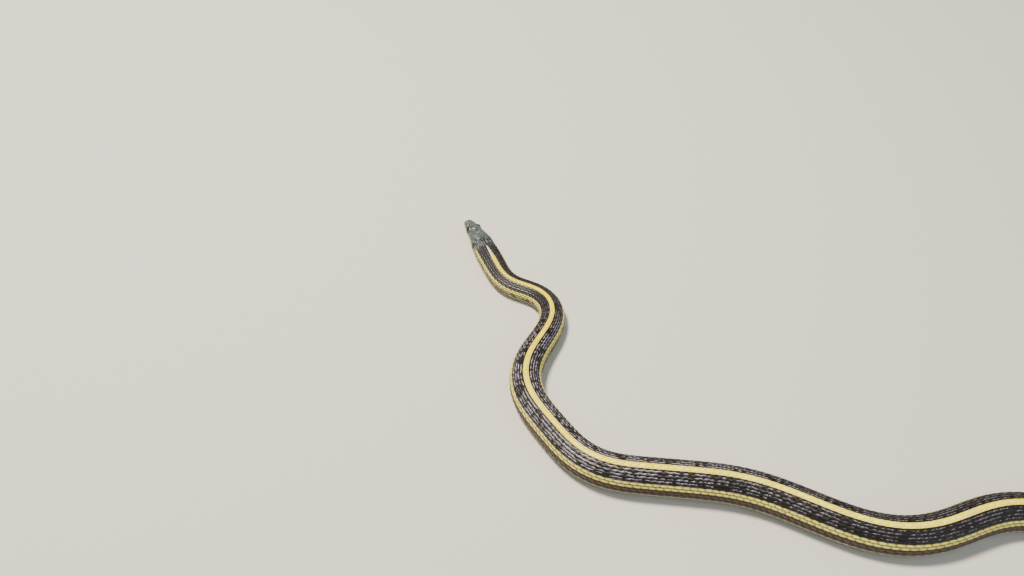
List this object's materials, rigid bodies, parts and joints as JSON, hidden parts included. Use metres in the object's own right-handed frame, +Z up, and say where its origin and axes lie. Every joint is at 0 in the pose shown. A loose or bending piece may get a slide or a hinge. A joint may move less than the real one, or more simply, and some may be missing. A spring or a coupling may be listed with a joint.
{
  "type": "garter snake",
  "caption": "Life-size still model of a striped garter snake lying in loose curves, head raised slightly, long body tapering to a fine tail.",
  "frame": {"origin": "middle of the bounding box at floor level, under the belly", "axes": "+X along the length of the lying pose, away from the head end; +Y towards the head's side of the curves; +Z up from the floor"},
  "size_m": [0.5667, 0.2866, 0.0185],
  "materials": {
    "head_scales": "satin",
    "body_scales": "satin",
    "eyes": "gloss"
  },
  "bodies": {
    "root": {"head": "head_scales", "neck": "body_scales", "forebody_1": "body_scales", "forebody_2": "body_scales", "midbody_1": "body_scales", "midbody_2": "body_scales", "midbody_3": "body_scales", "hindbody_1": "body_scales", "hindbody_2": "body_scales", "tail_base": "body_scales", "tail_end": "body_scales", "eye_left": "eyes", "eye_right": "eyes"}
  },
  "joints": []
}
